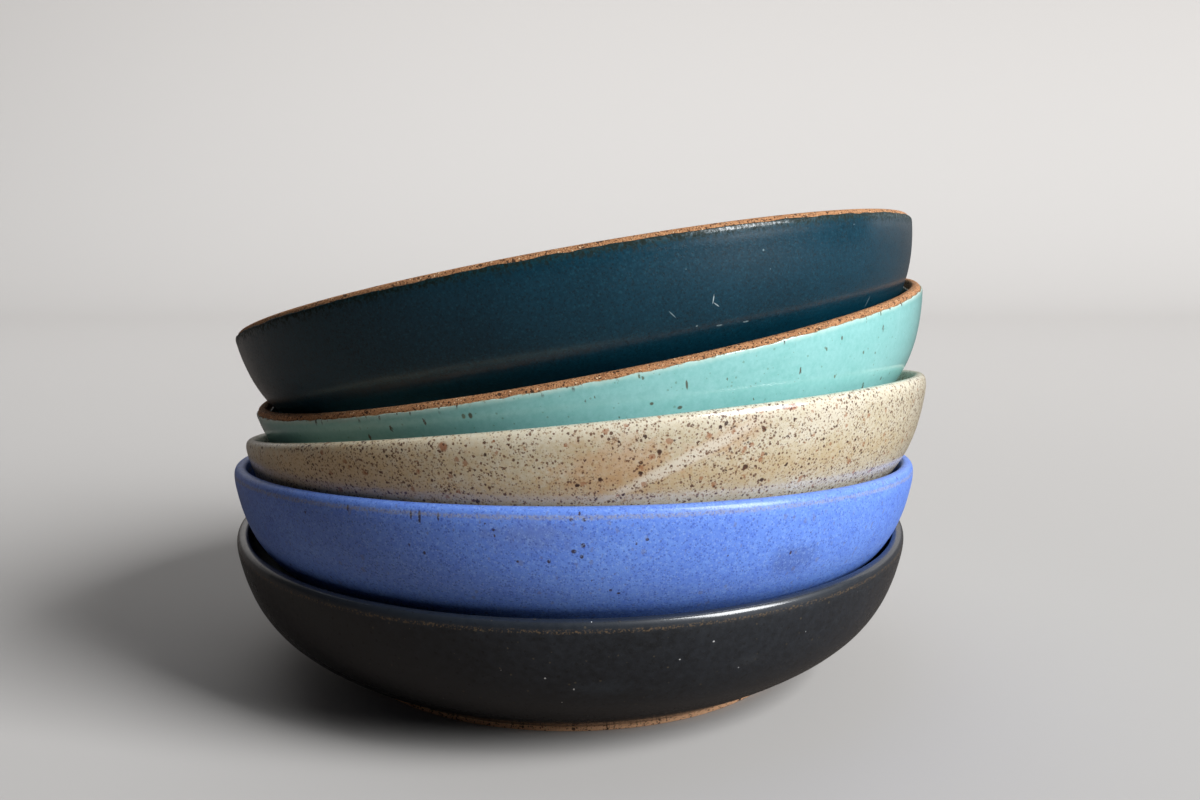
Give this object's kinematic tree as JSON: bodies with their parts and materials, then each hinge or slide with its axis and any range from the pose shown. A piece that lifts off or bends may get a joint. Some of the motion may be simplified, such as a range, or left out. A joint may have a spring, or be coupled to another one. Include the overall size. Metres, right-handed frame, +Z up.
{
  "type": "stack of pasta bowls",
  "caption": "Leaning nest of wide shallow stoneware pasta bowls in mixed glazes, each resting tilted inside the one beneath and lifting out upwards.",
  "frame": {"origin": "centre of the lowest bowl's foot ring, on the surface that it stands on", "axes": "+Z up through the lowest bowl, +X to the right and -Y to the front as the stack is pictured"},
  "size_m": [0.2245, 0.2274, 0.151],
  "materials": {
    "bare_clay": "unglazed speckled stoneware clay, brown to pale tan",
    "black_glaze": "satin charcoal glaze with a brown speckled break under the rim",
    "blue_glaze": "satin periwinkle blue glaze with small brown pits",
    "sand_glaze": "satin cream glaze, densely speckled dark brown and rust",
    "turquoise_glaze": "satin pale turquoise glaze with sparse dark flecks",
    "teal_glaze": "satin deep teal glaze, mottled, greenish where it ends"
  },
  "bodies": {
    "black_bowl": {"black_clay_body": "bare_clay", "black_glaze_coat": "black_glaze"},
    "blue_bowl": {"blue_clay_body": "bare_clay", "blue_glaze_coat": "blue_glaze"},
    "sand_bowl": {"sand_clay_body": "bare_clay", "sand_glaze_coat": "sand_glaze"},
    "turquoise_bowl": {"turquoise_clay_body": "bare_clay", "turquoise_outer_glaze": "turquoise_glaze", "turquoise_inner_glaze": "turquoise_glaze"},
    "teal_bowl": {"teal_clay_body": "bare_clay", "teal_outer_glaze": "teal_glaze", "teal_inner_glaze": "teal_glaze"}
  },
  "joints": [
    {"name": "blue_lift", "type": "slide", "parent": "black_bowl", "child": "blue_bowl", "axis": [0, 0, 1], "range_m": [0, 0.06]},
    {"name": "sand_lift", "type": "slide", "parent": "blue_bowl", "child": "sand_bowl", "axis": [-0.0035, 0.0976, 0.9952], "range_m": [0, 0.06]},
    {"name": "turquoise_lift", "type": "slide", "parent": "sand_bowl", "child": "turquoise_bowl", "axis": [-0.0976, 0.1351, 0.986], "range_m": [0, 0.06]},
    {"name": "teal_lift", "type": "slide", "parent": "turquoise_bowl", "child": "teal_bowl", "axis": [-0.1853, 0.0486, 0.9815], "range_m": [0, 0.06]}
  ]
}
